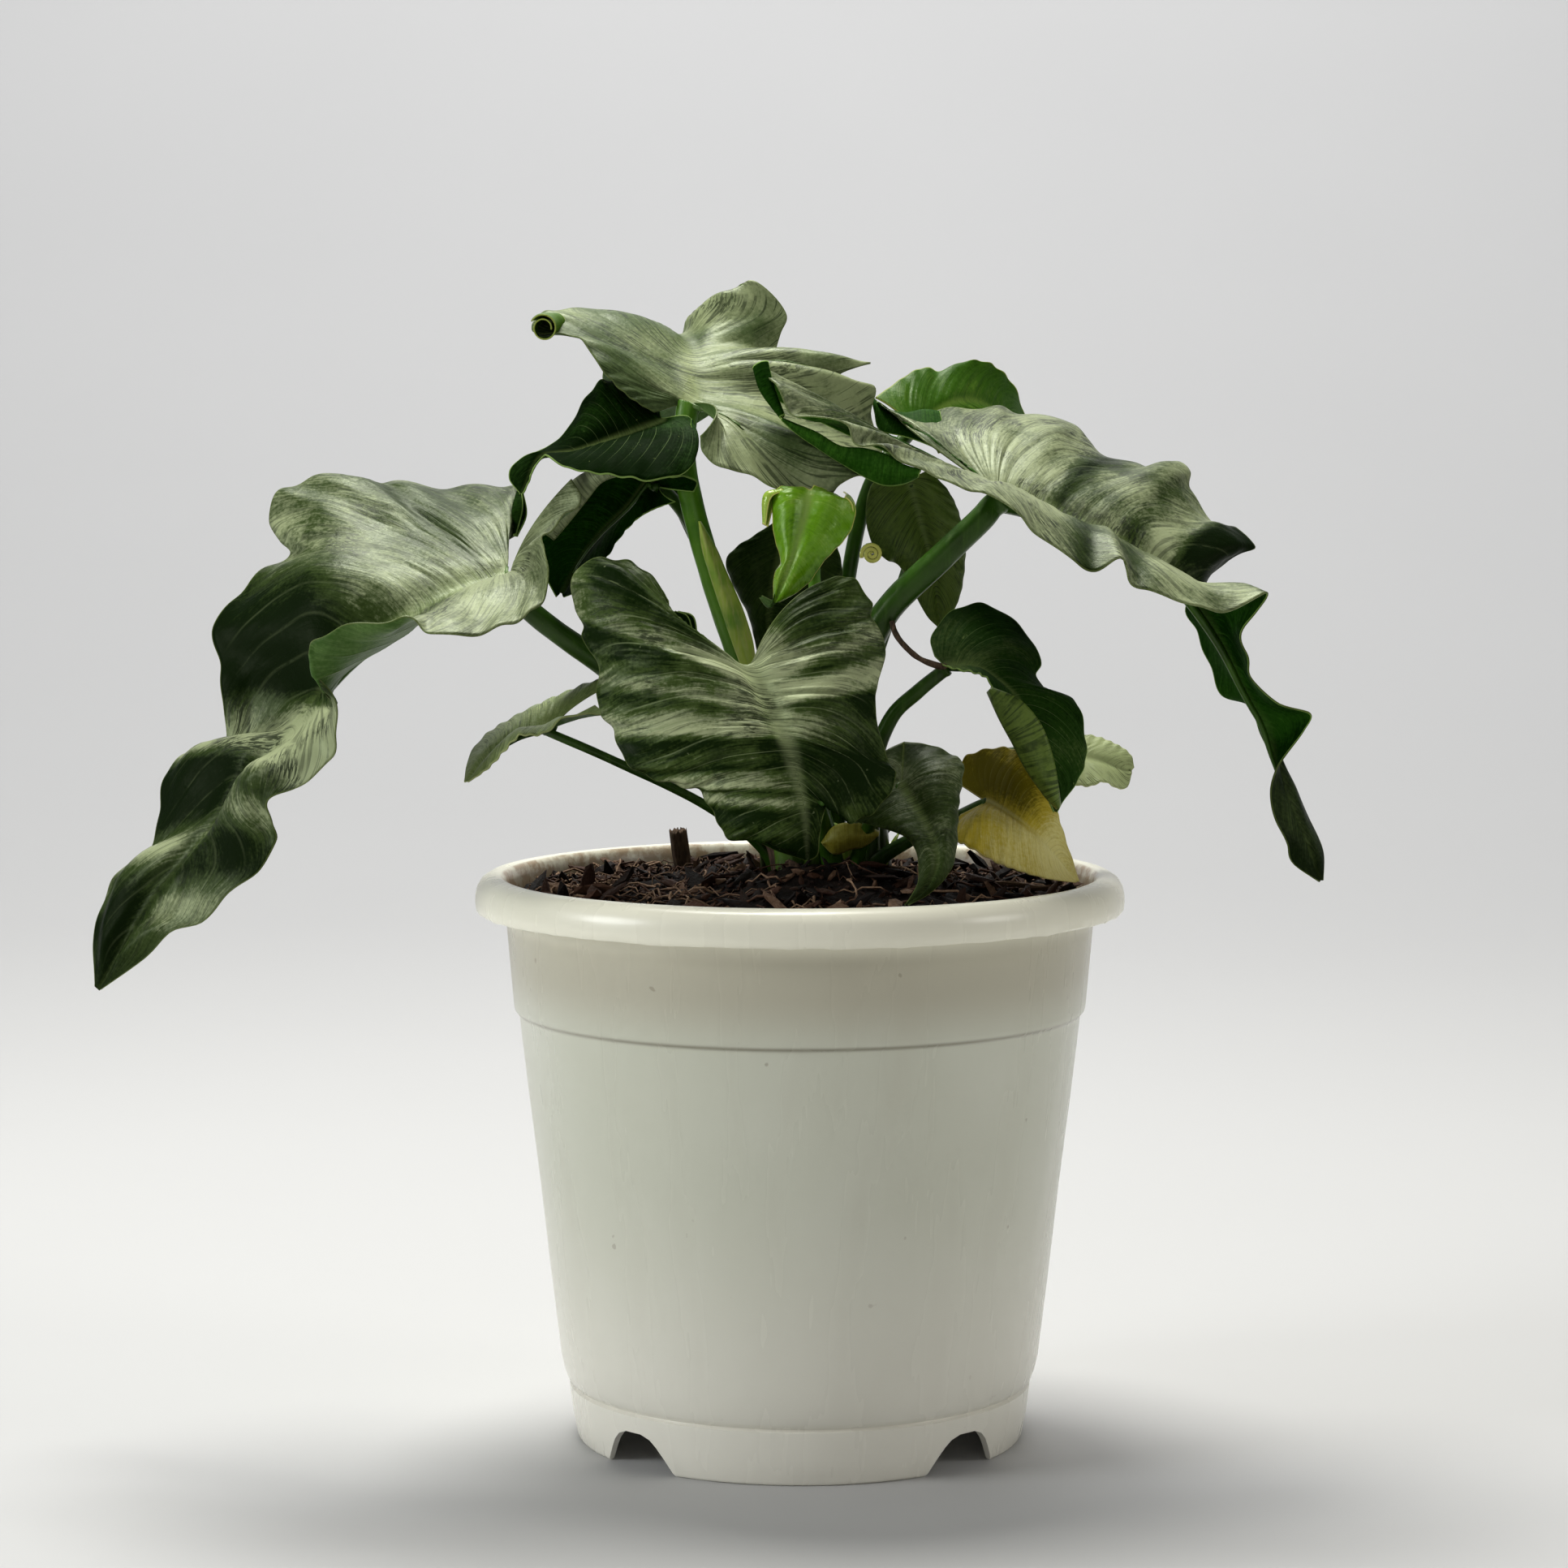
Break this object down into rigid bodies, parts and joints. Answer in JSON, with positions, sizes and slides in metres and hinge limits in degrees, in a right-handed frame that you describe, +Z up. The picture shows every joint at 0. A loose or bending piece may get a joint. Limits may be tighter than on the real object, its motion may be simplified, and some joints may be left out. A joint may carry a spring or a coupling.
{
  "type": "potted philodendron",
  "caption": "Young philodendron with long arching glossy dark green heart-shaped leaves, growing in bark potting mix in an off-white round plastic nursery pot.",
  "frame": {"origin": "centre of the bottom of the whole object's box; the pot's axis stands 28 mm from it towards +X", "axes": "+Z up along the pot's axis, -Y towards the viewer, +X to the viewer's right"},
  "size_m": [0.379, 0.2, 0.3559],
  "materials": {
    "pot_plastic": "semi-gloss off-white moulded plastic",
    "soil": "rough dark brown bark potting mix",
    "crown": "olive green with dry sheaths",
    "stalk": "smooth satin green",
    "sheath": "dull yellow-green",
    "leaf_dark": "satin dark green leaf",
    "leaf_bright": "satin bright green leaf",
    "leaf_pale": "satin pale green leaf",
    "leaf_yellow": "yellowing leaf",
    "dry_wood": "dry dull brown"
  },
  "bodies": {
    "root": {"pot": "pot_plastic", "soil": "soil", "crown": "crown", "wood_stick": "dry_wood", "leaf_left": "leaf_dark", "leaf_left_inner": "leaf_dark", "leaf_front": "leaf_dark", "leaf_top": "leaf_dark", "leaf_top_lower": "leaf_dark", "leaf_right": "leaf_dark", "leaf_back_upper": "leaf_bright", "leaf_back_lower": "leaf_dark", "leaf_young": "leaf_bright", "leaf_middle": "leaf_dark", "leaf_low_left": "leaf_pale", "leaf_middle_right": "leaf_dark", "leaf_pale_right": "leaf_pale", "leaf_yellow": "leaf_yellow", "leaf_low_front": "leaf_dark", "stalk_left": "stalk", "stalk_low_left": "stalk", "stalk_top": "stalk", "stalk_young": "stalk", "stalk_front": "stalk", "stalk_low_front": "stalk", "stalk_yellow": "stalk", "stalk_middle_right": "stalk", "stalk_right": "stalk", "stalk_pale_right": "stalk", "stalk_back_lower": "stalk", "stalk_back_upper": "stalk", "stalk_middle": "stalk", "stalk_top_lower": "stalk", "stalk_left_inner": "stalk", "sheath": "sheath", "dry_root": "dry_wood"}
  },
  "joints": []
}
